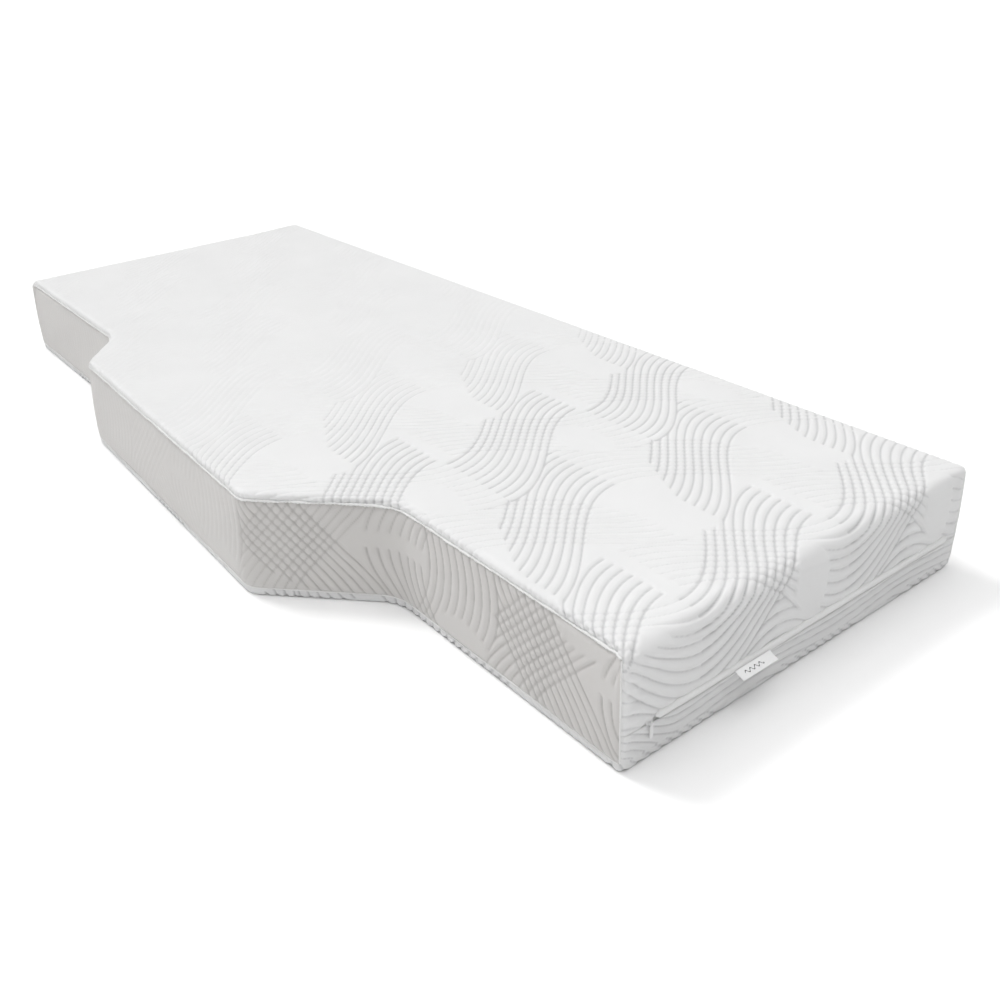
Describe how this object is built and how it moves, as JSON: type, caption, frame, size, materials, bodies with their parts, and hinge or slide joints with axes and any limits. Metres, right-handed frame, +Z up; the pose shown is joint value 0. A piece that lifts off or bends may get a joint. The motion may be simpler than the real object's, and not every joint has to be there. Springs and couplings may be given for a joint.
{
  "type": "memory foam mattress",
  "caption": "Shaped foam mattress with a straight side and a stepped side, in a quilted zip-off cover, for lying on in a fitted berth.",
  "frame": {"origin": "middle of the footprint's bounding box, at the level of the underside", "axes": "+Y along the length from the foot (zip) end to the head end, +X towards the straight side, +Z up"},
  "size_m": [0.8432, 2.0228, 0.17],
  "materials": {
    "cover_quilt": "matte",
    "border_quilt": "matte",
    "seam_fold": "matte",
    "sock_knit": "matte",
    "base_foam": "matte",
    "memory_foam": "matte",
    "zip_tape": "matte",
    "zip_coil": "satin",
    "zip_metal": "gloss",
    "label_ribbon": "satin"
  },
  "bodies": {
    "mattress": {"base_foam": "base_foam", "memory_foam": "memory_foam", "inner_sock": "sock_knit", "cover_top_panel": "cover_quilt", "cover_bottom_panel": "cover_quilt", "cover_side_left": "border_quilt", "cover_side_right": "border_quilt", "seam_top_left": "seam_fold", "seam_top_right": "seam_fold", "seam_bottom_left": "seam_fold", "seam_bottom_right": "seam_fold", "seam_bottom_head": "seam_fold", "seam_corner_foot_left": "seam_fold", "seam_corner_foot_right": "seam_fold", "seam_corner_head_left": "seam_fold", "seam_corner_head_right": "seam_fold", "zip_tape_upper": "zip_tape", "zip_tape_lower": "zip_tape", "zip_coil_upper": "zip_coil", "zip_coil_lower": "zip_coil", "zip_stop_left": "zip_metal", "zip_stop_right": "zip_metal", "zip_flap": "seam_fold"},
    "slider": {"zip_slider": "zip_metal"},
    "puller": {"zip_puller": "zip_metal"},
    "label": {"side_label": "label_ribbon"}
  },
  "joints": [
    {"name": "zip_travel", "type": "slide", "parent": "mattress", "child": "slider", "axis": [1, 0, 0], "range_m": [0, 0.597]},
    {"name": "puller_swing", "type": "hinge", "parent": "slider", "child": "puller", "pos_m": [-0.21539, -0.99321, 0.055], "axis": [1, 0, 0], "range_deg": [-115, 0]},
    {"name": "label_lift", "type": "hinge", "parent": "mattress", "child": "label", "pos_m": [-0.04139, -0.99581, 0.06], "axis": [1, 0, 0], "range_deg": [-120, 45]}
  ]
}
